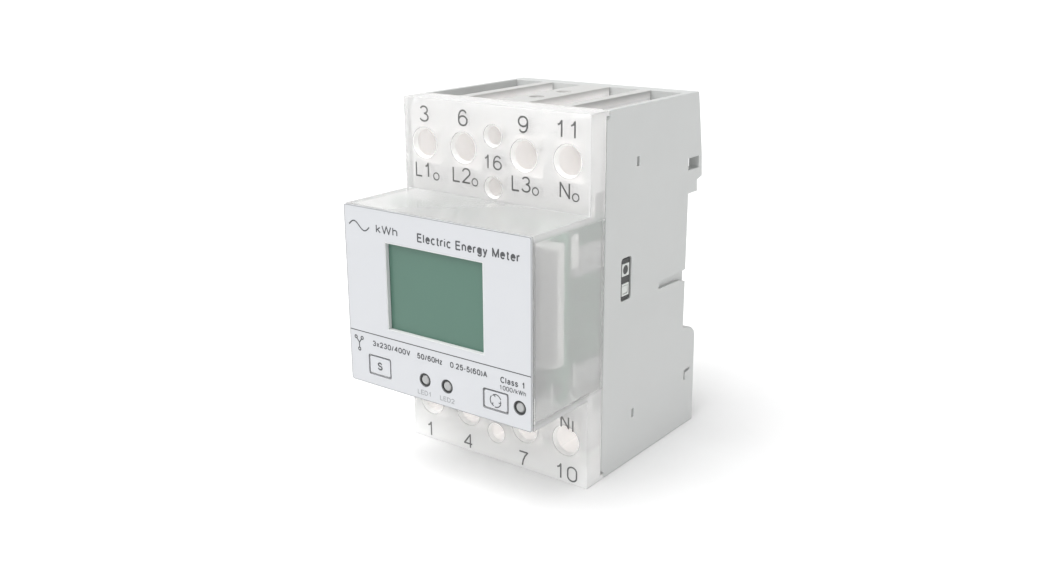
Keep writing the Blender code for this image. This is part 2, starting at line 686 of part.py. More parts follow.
# ---------------------------------------------------------------- rail clip

def make_clip():
    """Sprung slider whose nose holds the lower edge of the rail; it is pulled down to let go."""
    front, rear = CHANNEL_FLOOR_Y + 0.4, CHANNEL_LIP_Y - 0.4
    shank = RECESS_BOTTOM_Z - 0.9
    outline = [
        (front, CLIP_FOOT_Z), (rear, CLIP_FOOT_Z), (rear, shank), (rear - 0.4, shank + 0.8),
        (RAIL_GRIP_Y + 1.0, CLIP_NOSE_Z), (RAIL_GRIP_Y, CLIP_NOSE_Z), (RAIL_GRIP_Y, shank), (front, shank),
    ]
    half = CHANNEL_HALF_WIDTH - 0.4
    clip = side_prism("din_clip", outline, (-half, half), "white_plastic")
    cut(
        clip,
        box("clip_spring_window", (-2.4, 2.4), (-1, 8), (-34.0, SPRING_TOP_Z + 0.6)),
        box("clip_tool_slot", (-3.5, 3.5), (-1, 8), (-41.6, -39.4)),
        box("clip_nose_gap", (-4.0, 4.0), (-1, 8), (shank + 0.5, -10)),
    )


def make_clip_spring():
    """Closed-end helix between the housing's stop and the top of the clip's window."""
    points_per_turn = 10
    count = SPRING_TURNS * points_per_turn
    low = SPRING_BOTTOM_Z + SPRING_WIRE_RADIUS
    high = SPRING_TOP_Z - SPRING_WIRE_RADIUS
    curve = bpy.data.curves.new("clip_spring", "CURVE")
    curve.dimensions = "3D"
    curve.bevel_depth = SPRING_WIRE_RADIUS * MM
    curve.bevel_resolution = 1
    curve.use_fill_caps = True
    spline = curve.splines.new("POLY")
    spline.points.add(count)
    for index in range(count + 1):
        turn = 2 * math.pi * index / points_per_turn
        x = SPRING_RADIUS * math.cos(turn)
        y = SPRING_CENTRE_Y + SPRING_RADIUS * math.sin(turn)
        z = low + (high - low) * index / count
        spline.points[index].co = (x * MM, y * MM, z * MM, 1)
    curve.materials.append(finish("bright_steel"))
    spring = bpy.data.objects.new("clip_spring", curve)
    bpy.context.scene.collection.objects.link(spring)


clear_scene()
make_rear_shell()
make_front_cover()
make_front_label()
make_terminal_block(1, "top")
make_terminal_block(-1, "bottom")
make_main_terminals()
make_aux_terminals()
make_display()
make_display_frame()
for key_name, key_opening in KEY_OPENINGS.items():
    make_key(key_name, key_opening)
make_lamps()
make_boards()
make_current_transformers()
make_infrared_port()
make_clip()
make_clip_spring()
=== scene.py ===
"""Looks of the three-module smart electric meter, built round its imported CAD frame.

Lengths are in millimetres and MM turns them into metres; +Z is up and -Y is the meter's front.
"""
import math

import bmesh
import bpy
from mathutils import Matrix, Vector
from mathutils.geometry import delaunay_2d_cdt


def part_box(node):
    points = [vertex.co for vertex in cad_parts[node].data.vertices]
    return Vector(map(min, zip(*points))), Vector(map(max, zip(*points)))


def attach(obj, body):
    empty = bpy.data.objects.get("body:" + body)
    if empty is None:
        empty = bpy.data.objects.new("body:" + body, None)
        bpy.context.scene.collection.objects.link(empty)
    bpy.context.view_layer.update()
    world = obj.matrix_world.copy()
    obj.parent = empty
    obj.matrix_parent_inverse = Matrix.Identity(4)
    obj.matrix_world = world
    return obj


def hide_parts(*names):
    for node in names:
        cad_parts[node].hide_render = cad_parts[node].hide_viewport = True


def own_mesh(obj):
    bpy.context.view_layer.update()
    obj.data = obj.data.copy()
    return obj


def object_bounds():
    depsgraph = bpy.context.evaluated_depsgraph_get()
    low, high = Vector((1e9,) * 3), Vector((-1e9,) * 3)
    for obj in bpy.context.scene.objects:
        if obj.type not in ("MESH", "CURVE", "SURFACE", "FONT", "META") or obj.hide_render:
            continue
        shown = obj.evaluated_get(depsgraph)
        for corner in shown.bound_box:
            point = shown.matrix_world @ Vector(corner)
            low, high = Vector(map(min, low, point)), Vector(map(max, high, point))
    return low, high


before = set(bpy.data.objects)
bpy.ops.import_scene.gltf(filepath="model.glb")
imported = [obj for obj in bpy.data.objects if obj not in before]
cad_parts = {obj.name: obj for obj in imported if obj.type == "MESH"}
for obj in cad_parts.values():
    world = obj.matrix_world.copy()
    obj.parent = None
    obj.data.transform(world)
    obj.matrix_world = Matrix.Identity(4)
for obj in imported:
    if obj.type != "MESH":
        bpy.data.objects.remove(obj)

CAD_BOX = [list(corner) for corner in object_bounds()]

MM = 0.001
HOUSING = "housing"


def span(node):
    """A CAD node's lowest and highest corners in millimetres."""
    low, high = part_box(node)
    return low / MM, high / MM


def place_of(node):
    """Where the middle of a node lies on the front, as an (x, z) place."""
    low, high = span(node)
    return (low.x + high.x) / 2, (low.z + high.z) / 2


COVER_LOW, COVER_HIGH = span("front_cover")
LABEL_LOW, LABEL_HIGH = span("front_label")
LABEL_Y = LABEL_LOW.y
COVER_WALL = 1.5
BLOCK_GAP = 0.3  # between the terminal blocks and the cover's shoulders
SHOULDER_Y = span("terminal_block_top")[0].y - COVER_WALL - BLOCK_GAP
KEYS = ("key_select", "key_scroll")
KEY_FLANGE = 0.7  # a key's flange reaches this far past its opening on each side
LAMPS = ("led_1", "led_2", "led_pulse")
MAIN_TERMINALS = ("3", "6", "9", "11", "1", "4", "7", "10")
AUX_TERMINALS = ("outer_top", "inner_top", "outer_bottom")


def key_opening(node):
    """The (x, z) limits of a key's opening in the cover and the label."""
    low, high = span(node)
    return (low.x + KEY_FLANGE, high.x - KEY_FLANGE), (low.z + KEY_FLANGE, high.z - KEY_FLANGE)


# ---------------------------------------------------------------- camera, light and floor

CAMERA_AZIMUTH = math.radians(36.88)
CAMERA_ELEVATION = math.radians(16.934)
CAMERA_ROLL = math.radians(-0.257)
CAMERA_DISTANCE = 0.2973
CAMERA_AIM = Vector((-0.01443, -0.01342, -0.00866))
CAMERA_LENS = 38.1
SENSOR_WIDTH = 36.0


def make_camera():
    a, e, r = CAMERA_AZIMUTH, CAMERA_ELEVATION, CAMERA_ROLL
    back = Vector((math.sin(a) * math.cos(e), -math.cos(a) * math.cos(e), math.sin(e)))
    level = Vector((math.cos(a), math.sin(a), 0))
    upright = back.cross(level)
    right = level * math.cos(r) + upright * math.sin(r)
    up = upright * math.cos(r) - level * math.sin(r)
    data = bpy.data.cameras.new("camera")
    data.sensor_fit = "HORIZONTAL"
    data.sensor_width = SENSOR_WIDTH
    data.lens = CAMERA_LENS
    data.clip_start = 0.01
    data.clip_end = 30
    camera = bpy.data.objects.new("camera", data)
    bpy.context.scene.collection.objects.link(camera)
    turn = Matrix((right, up, back)).transposed().to_4x4()
    camera.matrix_world = Matrix.Translation(CAMERA_AIM + back * CAMERA_DISTANCE) @ turn
    bpy.context.scene.camera = camera


SKY_STRENGTH = 0.62  # overhead
HORIZON_STRENGTH = 1.0
HORIZON_BAND = (0.16, 0.48)  # the sky falls to its overhead strength between these sines of elevation
SUN_STRENGTH = 2.75
SUN_SPREAD = math.radians(60)
SUN_FROM = Vector((-0.22, -0.48, 0.85))
FLOOR_SIZE = 30.0  # in metres
FLOOR_DROP = 0.05  # below the lowest corner


def make_studio():
    """Even white surroundings, one broad soft sun from the upper left front, and a plain pale floor."""
    scene = bpy.context.scene
    scene.view_settings.view_transform = "Standard"
    scene.cycles.max_bounces = 32
    scene.cycles.diffuse_bounces = 12
    scene.cycles.transmission_bounces = 24
    world = bpy.data.worlds.new("studio")
    scene.world = world
    world.use_nodes = True
    tree = world.node_tree
    sky = tree.nodes["Background"]
    sky.inputs["Color"].default_value = (1.0, 1.0, 1.0, 1.0)
    way = tree.nodes.new("ShaderNodeTexCoord")
    parts = tree.nodes.new("ShaderNodeSeparateXYZ")
    tree.links.new(way.outputs["Generated"], parts.inputs["Vector"])
    fade = tree.nodes.new("ShaderNodeMapRange")
    tree.links.new(parts.outputs["Z"], fade.inputs["Value"])
    for socket, value in (("From Min", HORIZON_BAND[0]), ("From Max", HORIZON_BAND[1]),
                          ("To Min", HORIZON_STRENGTH), ("To Max", SKY_STRENGTH)):
        fade.inputs[socket].default_value = value
    tree.links.new(fade.outputs["Result"], sky.inputs["Strength"])
    sun = bpy.data.lights.new("sun", "SUN")
    sun.energy = SUN_STRENGTH
    sun.angle = SUN_SPREAD
    lamp = bpy.data.objects.new("sun", sun)
    scene.collection.objects.link(lamp)
    lamp.rotation_mode = "QUATERNION"
    lamp.rotation_quaternion = SUN_FROM.to_track_quat("Z", "Y")
    shape = bmesh.new()
    bmesh.ops.create_grid(shape, x_segments=8, y_segments=8, size=FLOOR_SIZE / 2)
    bmesh.ops.translate(shape, vec=(0, 0, CAD_BOX[0][2] - FLOOR_DROP * MM), verts=shape.verts)
    mesh = bpy.data.meshes.new("floor")
    shape.to_mesh(mesh)
    shape.free()
    floor = link(mesh, "floor")
    mesh.materials.append(moulded("floor_paint", (0.92, 0.92, 0.92), 0.8, grain=3.0, relief=0.0, mottle=0.01))


# ---------------------------------------------------------------- materials

def shader_material(name, colour, roughness, **settings):
    """A Principled material whose constant values sit on the shader's own sockets."""
    made = bpy.data.materials.new(name)
    made.use_nodes = True
    shader = made.node_tree.nodes["Principled BSDF"]
    shader.inputs["Base Color"].default_value = (*colour, 1.0)
    shader.inputs["Roughness"].default_value = roughness
    for socket, value in settings.items():
        shader.inputs[socket.replace("_", " ")].default_value = value
    return made


class Nodes:
    """Short ways to add nodes to one material."""

    def __init__(self, material):
        self.tree = material.node_tree
        self.shader = self.tree.nodes["Principled BSDF"]
        self.place = self.tree.nodes.new("ShaderNodeTexCoord").outputs["Object"]

    def feed(self, socket, value):
        """Gives a node's socket a value, or a link to another socket."""
        if isinstance(value, bpy.types.NodeSocket):
            self.tree.links.new(value, socket)
        else:
            socket.default_value = value

    def add(self, kind, **inputs):
        node = self.tree.nodes.new(kind)
        for socket, value in inputs.items():
            self.feed(node.inputs[socket.replace("_", " ")], value)
        return node

    def stretched(self, x, y, z):
        """The object's coordinates in millimetres, stretched along each axis."""
        node = self.add("ShaderNodeMapping", Vector=self.place)
        node.inputs["Scale"].default_value = (x / MM, y / MM, z / MM)
        return node.outputs["Vector"]

    def along(self, axis):
        """The object's coordinate along one axis, in millimetres."""
        parts = self.add("ShaderNodeSeparateXYZ", Vector=self.place)
        return self.math("DIVIDE", parts.outputs[axis], MM)

    def outward(self, axis):
        """The distance from the object's middle along one axis, in millimetres."""
        return self.math("ABSOLUTE", self.along(axis), 0.0)

    def noise(self, size, detail=2.0, roughness=0.5, stretch=(1, 1, 1)):
        """Noise whose blobs are about size millimetres across."""
        place = self.stretched(*[factor / size for factor in stretch])
        return self.add("ShaderNodeTexNoise", Vector=place, Scale=1.0, Detail=detail,
                        Roughness=roughness).outputs["Fac"]

    def between(self, factor, low, high, start=0.0, end=1.0):
        """A value that runs from low to high as factor runs from start to end."""
        node = self.add("ShaderNodeMapRange", Value=factor, From_Min=start, From_Max=end,
                        To_Min=low, To_Max=high)
        return node.outputs["Result"]

    def blend(self, factor, first, second):
        """A colour mixed from two colours or sockets."""
        node = self.tree.nodes.new("ShaderNodeMix")
        node.data_type = "RGBA"
        self.tree.links.new(factor, node.inputs["Factor"])
        colours = [socket for socket in node.inputs if socket.type == "RGBA"]
        for socket, value in zip(colours, (first, second)):
            self.feed(socket, value if isinstance(value, bpy.types.NodeSocket) else (*value, 1.0))
        return [socket for socket in node.outputs if socket.type == "RGBA"][0]

    def math(self, operation, first, second):
        node = self.tree.nodes.new("ShaderNodeMath")
        node.operation = operation
        for socket, value in zip(node.inputs, (first, second)):
            self.feed(socket, value)
        return node.outputs["Value"]

    def drive(self, socket, value):
        """Links one of the shader's own sockets."""
        self.tree.links.new(value, self.shader.inputs[socket])

    def colour(self, value):
        self.drive("Base Color", value)

    def tint(self, factor, colour):
        """Turns the colour so far to another one as factor rises to 1."""
        before = self.shader.inputs["Base Color"].links[0].from_socket
        self.colour(self.blend(factor, before, colour))

    def roughness(self, value):
        self.drive("Roughness", value)

    def bump(self, height, depth, strength=1.0):
        """Relief of that depth in millimetres."""
        node = self.add("ShaderNodeBump", Height=height, Strength=strength, Distance=depth * MM)
        self.drive("Normal", node.outputs["Normal"])


def scaled(colour, factor):
    return tuple(min(1.0, channel * factor) for channel in colour)


def moulded(name, colour, roughness, grain=0.35, relief=0.006, mottle=0.02, **settings):
    """Moulded plastic or paint: fine grain, and colour and gloss that drift a little across the surface."""
    made = shader_material(name, colour, roughness, **settings)
    nodes = Nodes(made)
    drift = nodes.noise(14.0, detail=3.0)
    fine = nodes.noise(grain, detail=3.0, roughness=0.6)
    mixed = nodes.math("ADD", nodes.math("MULTIPLY", drift, 0.7), nodes.math("MULTIPLY", fine, 0.3))
    nodes.colour(nodes.blend(nodes.between(mixed, 0, 1, 0.3, 0.7),
                             scaled(colour, 1 - mottle), scaled(colour, 1 + mottle)))
    nodes.roughness(nodes.between(mixed, roughness * 0.93, roughness * 1.07, 0.3, 0.7))
    if relief:
        nodes.bump(fine, relief)
    return made


def shade_along(material, axis, start, end, colour):
    """Paints lighter or darker shading into a material: turns it to another colour from start to end along an
    axis; X is measured outward both ways.
    """
    nodes = Nodes(material)
    place = nodes.outward(axis) if axis == "X" else nodes.along(axis)
    nodes.tint(nodes.between(place, 0, 1, start, end), colour)


# Where the terminal blocks carry painted light, an emission glow in place of light through their translucent
# plastic, and where they stay plain, in millimetres
GLOW_DEPTHS = (-42.0, -41.0)  # the glow comes up just behind the front face
GLOW_HEIGHTS = (41.0, 43.5)  # and falls to RIM_GLOW of itself towards the outer rims
RIM_GLOW = 0.3
FOOT_HEIGHTS = (-30.0, -44.0)  # the lowest part glows a little more: painted light against the shade under the front box
# where the outer rims are tinted greyer, as painted shade
RIM_DEPTHS = (-39.0, -36.0)
RIM_HEIGHTS = (42.3, 43.7)


def paint_glow_and_rim_shade(material, glow, foot_glow, rim):
    """Paints light into the blocks as a glow behind their front face and at their foot, and paints their
    outer rims plain and greyer as painted shade.
    """
    nodes = Nodes(material)
    depth, height = nodes.along("Y"), nodes.outward("Z")
    inside = nodes.math("MULTIPLY", nodes.between(depth, 0, glow, *GLOW_DEPTHS),
                        nodes.between(height, 1, RIM_GLOW, *GLOW_HEIGHTS))
    foot = nodes.between(nodes.along("Z"), 0, foot_glow, *FOOT_HEIGHTS)
    nodes.drive("Emission Strength", nodes.math("ADD", inside, foot))
    outer = nodes.math("MULTIPLY", nodes.between(height, 0, 1, *RIM_HEIGHTS),
                       nodes.between(depth, 0, 1, *RIM_DEPTHS))
    nodes.tint(outer, rim)


# Where the cover's plastic is clearer or cloudier, in millimetres
SIDE_WALL_X = (25.2, 25.8)  # from the middle outward
SIDE_WALL_Z = (19.5, 21.0)  # the side walls' clear part ends above and below the front box
COVER_FOOT_Z = (-34.0, -42.5)
COVER_FOOT_SHARE = 0.4


def clearer_sides(material, middle, side):
    """The front box's side walls let more light through than the rest of the cover, and its foot less."""
    nodes = Nodes(material)
    share = nodes.math("MULTIPLY", nodes.between(nodes.outward("X"), 0, 1, *SIDE_WALL_X),
                       nodes.between(nodes.outward("Z"), 1, 0, *SIDE_WALL_Z))
    foot = nodes.between(nodes.along("Z"), 1, COVER_FOOT_SHARE, *COVER_FOOT_Z)
    nodes.drive("Transmission Weight", nodes.math("MULTIPLY", nodes.between(share, middle, side), foot))


def plated(name, colour, roughness, grain=0.25, stretch=(1, 1, 1), stain=None):
    """Plated or bare metal with fine scratches and cloudy patches."""
    made = shader_material(name, colour, roughness, Metallic=1.0)
    nodes = Nodes(made)
    cloud = nodes.noise(2.4, detail=4.0)
    scratch = nodes.noise(grain, detail=4.0, roughness=0.7, stretch=stretch)
    nodes.colour(nodes.blend(nodes.between(cloud, 0, 1, 0.35, 0.7), colour, stain or scaled(colour, 0.82)))
    nodes.roughness(nodes.between(scratch, roughness * 0.7, roughness * 1.5, 0.3, 0.7))
    nodes.bump(scratch, 0.004)
    return made


def circuit_board(name, mask, track):
    """Solder mask over a net of tracks, with plain patches between them."""
    made = shader_material(name, mask, 0.4)
    nodes = Nodes(made)
    lines = nodes.add("ShaderNodeTexBrick", Vector=nodes.stretched(1.0, 1.0, 1.0), Scale=0.5)
    lines.inputs["Mortar Size"].default_value = 0.06
    lines.inputs["Color1"].default_value = (*mask, 1.0)
    lines.inputs["Color2"].default_value = (*scaled(mask, 1.2), 1.0)
    lines.inputs["Mortar"].default_value = (*track, 1.0)
    patches = nodes.noise(3.0, detail=2.0)
    nodes.colour(nodes.blend(nodes.between(patches, 0, 1, 0.45, 0.55), lines.outputs["Color"], mask))
    nodes.bump(lines.outputs["Fac"], 0.03, 0.6)
    return made


def liquid_crystal(name, colour, **settings):
    """Grey-green display glass: nearly even in colour, with a silky gloss."""
    made = shader_material(name, colour, 0.32, Coat_Weight=0.15, Coat_Roughness=0.1, **settings)
    nodes = Nodes(made)
    fine = nodes.noise(0.18, detail=1.0)
    drift = nodes.noise(18.0, detail=1.0)
    mixed = nodes.math("ADD", nodes.math("MULTIPLY", drift, 0.9), nodes.math("MULTIPLY", fine, 0.1))
    nodes.colour(nodes.blend(nodes.between(mixed, 0, 1, 0.3, 0.7),
                             scaled(colour, 0.98), scaled(colour, 1.02)))
    return made


# ---------------------------------------------------------------- geometry helpers

def link(mesh, name):
    made = bpy.data.objects.new(name, mesh)
    bpy.context.scene.collection.objects.link(made)
    return made


def object_from(shape, name, material, smooth=30):
    """A linked object from a bmesh in millimetres."""
    bmesh.ops.scale(shape, vec=(MM, MM, MM), verts=shape.verts)
    bmesh.ops.recalc_face_normals(shape, faces=shape.faces)
    mesh = bpy.data.meshes.new(name)
    shape.to_mesh(mesh)
    shape.free()
    mesh.shade_smooth()
    mesh.set_sharp_from_angle(angle=math.radians(smooth))
    mesh.materials.append(material)
    return link(mesh, name)


def rides(piece, body=HOUSING, replaces=()):
    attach(piece, body)
    if replaces:
        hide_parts(*replaces)
    return piece


def dressed(node, material, edge):
    """Gives a CAD node its material and softened edges."""
    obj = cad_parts[node]
    if obj.data.materials:
        for index in range(len(obj.data.materials)):
            obj.data.materials[index] = material
    else:
        obj.data.materials.append(material)
    weld = obj.modifiers.new("weld", "WELD")
    weld.merge_threshold = 0.002 * MM
    flat = obj.modifiers.new("flat", "DECIMATE")
    flat.decimate_type = "DISSOLVE"
    flat.angle_limit = math.radians(0.5)
    round_edges(obj, edge, 2, 40, clamp=True)


def round_edges(piece, width, segments, corner, clamp):
    """Rounds every edge sharper than the corner angle."""
    bevel = piece.modifiers.new("bevel", "BEVEL")
    bevel.width = width * MM
    bevel.segments = segments
    bevel.limit_method = "ANGLE"
    bevel.angle_limit = math.radians(corner)
    bevel.harden_normals = True
    bevel.use_clamp_overlap = clamp


def box_shape(x, y, z):
    """A bmesh box between two limits on each axis, in millimetres."""
    shape = bmesh.new()
    add_box(shape, x, y, z)
    return shape


def add_box(shape, x, y, z):
    corners = [shape.verts.new((a, b, c)) for a in x for b in y for c in z]
    for loop in ((0, 1, 3, 2), (4, 6, 7, 5), (0, 4, 5, 1), (2, 3, 7, 6), (0, 2, 6, 4), (1, 5, 7, 3)):
        shape.faces.new([corners[index] for index in loop])


def add_turned(shape, place, profile, segments=48, loop=False):
    """Turns (radius, depth) pairs about Y at an (x, z) place; a radius may depend on the angle.

    Its ends are capped, unless loop joins the last pair to the first to make a ring.
    """
    rings = []
    for radius, depth in profile:
        ring = []
        for step in range(segments):
            a = 2 * math.pi * step / segments
            reach = radius(a) if callable(radius) else radius
            x, z = place[0] + reach * math.cos(a), place[1] + reach * math.sin(a)
            ring.append(shape.verts.new((x, depth, z)))
        rings.append(ring)
    followers = rings[1:] + rings[:1] if loop else rings[1:]
    for first, second in zip(rings, followers):
        for step in range(segments):
            after = (step + 1) % segments
            shape.faces.new((first[step], first[after], second[after], second[step]))
    if not loop:
        shape.faces.new(rings[0])
        shape.faces.new(list(reversed(rings[-1])))


def add_rod(shape, place, radius, y, segments=72):
    """A cylinder along Y between two depths."""
    add_turned(shape, place, [(radius, y[0]), (radius, y[1])], segments)


def side_bar(outline, centre, half, x):
    """A round or square bmesh bar along X about a (y, z) centre."""
    y, z = centre
    if outline == "square":
        return box_shape(x, (y - half, y + half), (z - half, z + half))
    shape = bmesh.new()
    add_rod(shape, centre, half, x, 48)
    for vertex in shape.verts:
        vertex.co.x, vertex.co.y = vertex.co.y, vertex.co.x
    return shape


THREAD_ROWS = 6  # rings of points per turn
THREAD_TIP = 0.6  # length of the chamfer at the thread's end
THREAD_SLOPE = 1.3  # a flank reaches the root before the turn's edge, which leaves the root flat


def thread_profile(radius, pitch, depth, start, end):
    """Rolled thread between two depths: one rise and fall of the radius per turn, chamfered at its end."""
    rows = round((end - start) / pitch * THREAD_ROWS)

    def at(level):
        taper = max(0.0, THREAD_TIP - (end - level))

        def reach(a):
            phase = (level / pitch + a / (2 * math.pi)) % 1
            return radius - depth * min(1.0, THREAD_SLOPE * abs(2 * phase - 1)) - taper

        return reach

    levels = [start + (end - start) * row / rows for row in range(rows + 1)]
    return [(at(level), level) for level in levels]


def carve(piece, *tools):
    """Cuts closed bmesh tools, in millimetres, out of a piece one after another."""
    for index, tool in enumerate(tools):
        cutter = object_from(tool, f"cutter_{index}", piece.data.materials[0])
        cut = piece.modifiers.new("cut", "BOOLEAN")
        cut.operation = "DIFFERENCE"
        cut.solver = "EXACT"
        cut.object = cutter
        bpy.context.view_layer.update()
        whole = piece.evaluated_get(bpy.context.evaluated_depsgraph_get())
        mesh = bpy.data.meshes.new_from_object(whole)
        piece.modifiers.clear()
        before, piece.data = piece.data, mesh
        mesh.name = before.name
        bpy.data.meshes.remove(before)
        bpy.data.meshes.remove(cutter.data)


def soften(piece, width, segments=2):
    """Flattens what the cuts left in a piece, and rounds its edges."""
    shape = bmesh.new()
    shape.from_mesh(piece.data)
    bmesh.ops.remove_doubles(shape, verts=shape.verts, dist=0.001 * MM)
    bmesh.ops.dissolve_limit(shape, angle_limit=math.radians(0.3), verts=shape.verts, edges=shape.edges)
    shape.to_mesh(piece.data)
    shape.free()
    piece.data.shade_smooth()
    round_edges(piece, width, segments, 35, clamp=False)
    return piece


def around(centre, radius, degrees):
    """The (x, z) point at that distance and direction from a centre."""
    a = math.radians(degrees)
    return centre[0] + radius * math.cos(a), centre[1] + radius * math.sin(a)


def arc(centre, radius, start, end, steps=24):
    """(x, z) points along an arc between two angles in degrees."""
    return [around(centre, radius, start + (end - start) * step / steps) for step in range(steps + 1)]


def rounded(x0, x1, z0, z1, radius):
    """A closed rectangle of (x, z) points with round corners."""
    points = []
    for x, z, start in ((x1 - radius, z1 - radius, 0), (x0 + radius, z1 - radius, 90),
                        (x0 + radius, z0 + radius, 180), (x1 - radius, z0 + radius, 270)):
        points += arc((x, z), radius, start, start + 90, 5)
    return points + points[:2]


# ---------------------------------------------------------------- lettering

INK_FRONT = 0.02  # how far a print stands in front of its surface
INK_BACK = 0.02  # and how far it reaches into it
JOINT_SIDES = 8  # of the spot of ink at each bend of a line


def bow(x, y, rx, ry, start, end):
    """Points along an elliptical arc of a letter, between two angles in degrees."""
    steps = max(3, round(abs(end - start) / 12))
    angles = [math.radians(start + (end - start) * step / steps) for step in range(steps + 1)]
    return [(x + rx * math.cos(a), y + ry * math.sin(a)) for a in angles]


def flipped(width, strokes):
    return [[(width - x, 1 - y) for x, y in stroke] for stroke in strokes]


ARCH = [(0, 0.45)] + bow(0.22, 0.47, 0.22, 0.25, 175, 0) + [(0.44, 0)]
SIX = [bow(0.3, 0.31, 0.3, 0.31, 0, 360), [(0, 0.31)] + bow(0.31, 0.5, 0.31, 0.5, 180, 42)]
BRACKET = [bow(0.4, 0.42, 0.4, 0.62, 125, 235)]
# Centre lines of a plain narrow sans serif alphabet: width, then strokes on a capital height of 1
GLYPHS = {
    "0": (0.58, [bow(0.29, 0.7, 0.29, 0.3, 0, 180) + bow(0.29, 0.3, 0.29, 0.3, 180, 360) + [(0.58, 0.7)]]),
    "1": (0.58, [[(0.10, 0.74), (0.24, 0.82), (0.34, 1.0), (0.34, 0)]]),
    "2": (0.58, [bow(0.29, 0.72, 0.28, 0.28, 170, -35) + [(0.0, 0.0), (0.58, 0.0)]]),
    "3": (0.58, [bow(0.27, 0.76, 0.25, 0.24, 160, -90), bow(0.27, 0.26, 0.30, 0.26, 90, -160)]),
    "4": (0.60, [[(0.46, 0), (0.46, 1.0), (0.0, 0.29), (0.60, 0.29)]]),
    "5": (0.58, [[(0.53, 1.0), (0.12, 1.0), (0.04, 0.5)] + bow(0.27, 0.32, 0.30, 0.32, 130, -158)]),
    "6": (0.60, SIX),
    "7": (0.58, [[(0.0, 1.0), (0.58, 1.0), (0.40, 0.72), (0.27, 0.38), (0.21, 0.0)]]),
    "9": (0.60, flipped(0.60, SIX)),
    "A": (0.70, [[(0, 0), (0.35, 1), (0.70, 0)], [(0.12, 0.34), (0.58, 0.34)]]),
    "C": (0.66, [bow(0.36, 0.5, 0.36, 0.5, 42, 318)]),
    "D": (0.64, [[(0, 0), (0, 1)] + bow(0.26, 0.5, 0.38, 0.5, 90, -90) + [(0, 0)]]),
    "E": (0.56, [[(0.56, 1), (0, 1), (0, 0), (0.58, 0)], [(0, 0.53), (0.52, 0.53)]]),
    "H": (0.62, [[(0, 0), (0, 1)], [(0.62, 0), (0.62, 1)], [(0, 0.53), (0.62, 0.53)]]),
    "L": (0.50, [[(0, 1), (0, 0), (0.50, 0)]]),
    "M": (0.74, [[(0, 0), (0, 1), (0.37, 0.04), (0.74, 1), (0.74, 0)]]),
    "N": (0.64, [[(0, 0), (0, 1), (0.64, 0), (0.64, 1)]]),
    "S": (0.62, [bow(0.31, 0.76, 0.27, 0.24, 22, 270) + bow(0.31, 0.26, 0.31, 0.26, 90, -160)]),
    "V": (0.68, [[(0, 1), (0.34, 0), (0.68, 1)]]),
    "W": (0.98, [[(0, 1), (0.24, 0), (0.49, 1), (0.74, 0), (0.98, 1)]]),
    "a": (0.44, [bow(0.23, 0.5, 0.2, 0.22, 155, 0) + [(0.43, 0)],
                 [(0.43, 0.42)] + bow(0.19, 0.2, 0.19, 0.2, 90, 270) + [(0.43, 0.14)]]),
    "c": (0.44, [bow(0.25, 0.36, 0.25, 0.36, 48, 312)]),
    "e": (0.48, [[(0.02, 0.37), (0.48, 0.37)] + bow(0.25, 0.36, 0.24, 0.36, 5, 318)]),
    "g": (0.46, [bow(0.23, 0.38, 0.23, 0.34, 0, 360),
                 [(0.46, 0.72), (0.46, -0.05)] + bow(0.24, -0.07, 0.22, 0.2, 0, -155)]),
    "h": (0.44, [[(0, 0), (0, 1)], ARCH]),
    "i": (0.04, [[(0, 0), (0, 0.72)], [(0, 0.92), (0, 1.0)]]),
    "k": (0.42, [[(0, 0), (0, 1)], [(0.40, 0.72), (0, 0.27)], [(0.13, 0.41), (0.43, 0)]]),
    "l": (0.04, [[(0, 0), (0, 1)]]),
    "n": (0.44, [[(0, 0), (0, 0.72)], ARCH]),
    "r": (0.26, [[(0, 0), (0, 0.72)], [(0, 0.42)] + bow(0.22, 0.44, 0.22, 0.27, 175, 75)]),
    "s": (0.40, [bow(0.2, 0.54, 0.18, 0.18, 25, 270) + bow(0.2, 0.18, 0.2, 0.18, 90, -155)]),
    "t": (0.26, [[(0.12, 0.94), (0.12, 0.14)] + bow(0.25, 0.13, 0.13, 0.13, 180, 280),
                 [(0, 0.70), (0.28, 0.70)]]),
    "x": (0.42, [[(0, 0), (0.42, 0.72)], [(0, 0.72), (0.42, 0)]]),
    "y": (0.44, [[(0, 0.72), (0.23, 0.02)], [(0.45, 0.72), (0.18, -0.14), (0.10, -0.25), (0.0, -0.26)]]),
    "z": (0.40, [[(0, 0.72), (0.40, 0.72), (0, 0), (0.42, 0)]]),
    "/": (0.30, [[(0, 0), (0.30, 1)]]),
    "(": (0.14, BRACKET),
    ")": (0.14, [[(0.14 - x, y) for x, y in stroke] for stroke in BRACKET]),
    "-": (0.26, [[(0, 0.38), (0.26, 0.38)]]),
    ".": (0.04, [[(0, 0), (0, 0.04)]]),
    " ": (0.20, []),
}
LETTER_SPACE = 0.13  # clear space between letters, as a share of their centre lines' height


